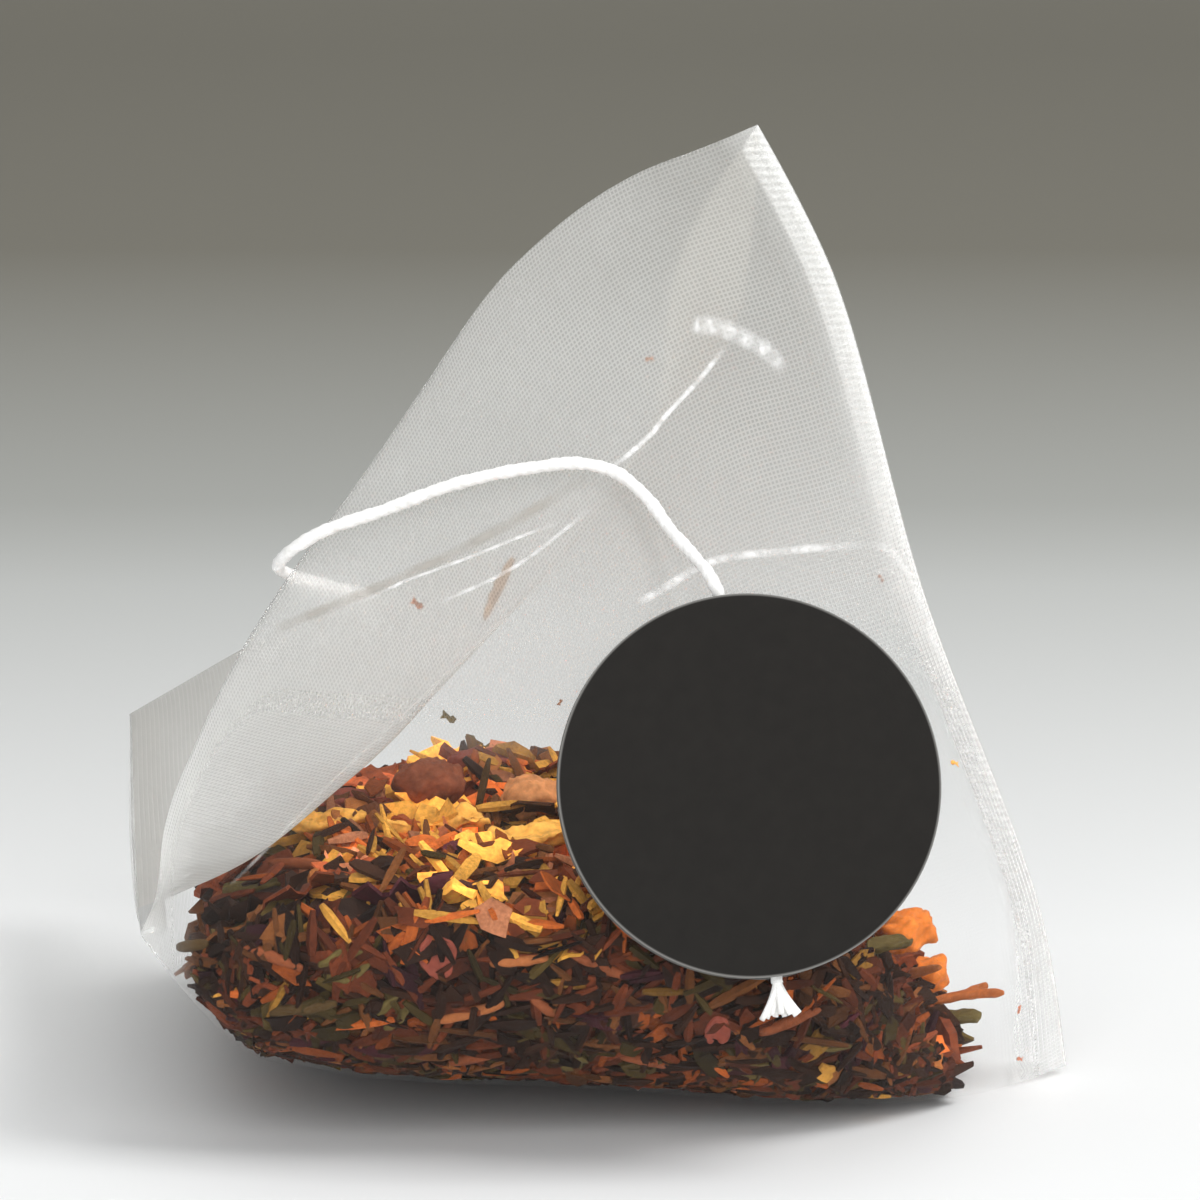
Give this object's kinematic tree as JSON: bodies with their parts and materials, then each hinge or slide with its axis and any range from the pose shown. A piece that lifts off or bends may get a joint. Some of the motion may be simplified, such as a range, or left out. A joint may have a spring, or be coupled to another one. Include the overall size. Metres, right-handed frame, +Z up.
{
  "type": "pyramid tea bag",
  "caption": "Pyramid-shaped sheer mesh tea bag with crossed heat-sealed edges, part filled with loose leaf and fruit tea, with a round dark tag hanging on a white string.",
  "frame": {"origin": "centre of the pouch's box at floor level, the height of the belly that the bag rests on", "axes": "+Z up; +X towards the toe at the foot of the long right-hand seal; -Y towards the front face, on which the tag hangs"},
  "size_m": [0.0626, 0.0642, 0.0613],
  "materials": {
    "nylon_mesh": "sheer woven nylon mesh, satin",
    "loose_tea": "loose dry leaf, matt",
    "rooibos_needle": "dry rooibos needle, matt",
    "leaf_needle": "dry rolled leaf, matt",
    "stem_piece": "dry stem, matt",
    "forked_stem": "dry forked stem, matt",
    "green_leaf": "dry olive leaf flake, matt",
    "dark_leaf": "dark dry leaf flake, matt",
    "orange_peel": "dried peel, satin",
    "petal": "dry red petal, satin",
    "apple_piece": "dried fruit, satin",
    "mango_piece": "dried fruit, slightly glossy",
    "berry_piece": "dried berry, satin",
    "tag_paper": "matt black printed paper",
    "cotton_thread": "soft twisted cotton, matt"
  },
  "bodies": {
    "root": {"apple_piece_1": "apple_piece", "apple_piece_2": "apple_piece", "apple_piece_3": "apple_piece", "berry_piece_1": "berry_piece", "berry_piece_2": "berry_piece", "dark_leaf_1": "dark_leaf", "dark_leaf_2": "dark_leaf", "forked_stem_1": "forked_stem", "green_leaf_1": "green_leaf", "green_leaf_2": "green_leaf", "green_leaf_3": "green_leaf", "green_leaf_4": "green_leaf", "green_leaf_5": "green_leaf", "green_leaf_6": "green_leaf", "green_leaf_7": "green_leaf", "green_leaf_8": "green_leaf", "leaf_needle_1": "leaf_needle", "leaf_needle_2": "leaf_needle", "leaf_needle_3": "leaf_needle", "leaf_needle_4": "leaf_needle", "leaf_needle_5": "leaf_needle", "leaf_needle_6": "leaf_needle", "leaf_needle_7": "leaf_needle", "mango_piece_1": "mango_piece", "mango_piece_2": "mango_piece", "mesh_bag": "nylon_mesh", "orange_peel_1": "orange_peel", "orange_peel_2": "orange_peel", "orange_peel_3": "orange_peel", "orange_peel_4": "orange_peel", "petal_1": "petal", "petal_2": "petal", "petal_3": "petal", "petal_4": "petal", "petal_5": "petal", "petal_6": "petal", "rooibos_needle_1": "rooibos_needle", "rooibos_needle_2": "rooibos_needle", "rooibos_needle_3": "rooibos_needle", "rooibos_needle_4": "rooibos_needle", "rooibos_needle_5": "rooibos_needle", "rooibos_needle_6": "rooibos_needle", "rooibos_needle_7": "rooibos_needle", "rooibos_needle_8": "rooibos_needle", "rooibos_needle_9": "rooibos_needle", "stem_piece_1": "stem_piece", "stem_piece_2": "stem_piece", "stem_piece_3": "stem_piece", "stem_piece_4": "stem_piece", "stem_piece_5": "stem_piece", "tag_back": "tag_paper", "tag_front": "tag_paper", "tea_heap": "loose_tea", "thread": "cotton_thread"}
  },
  "joints": []
}
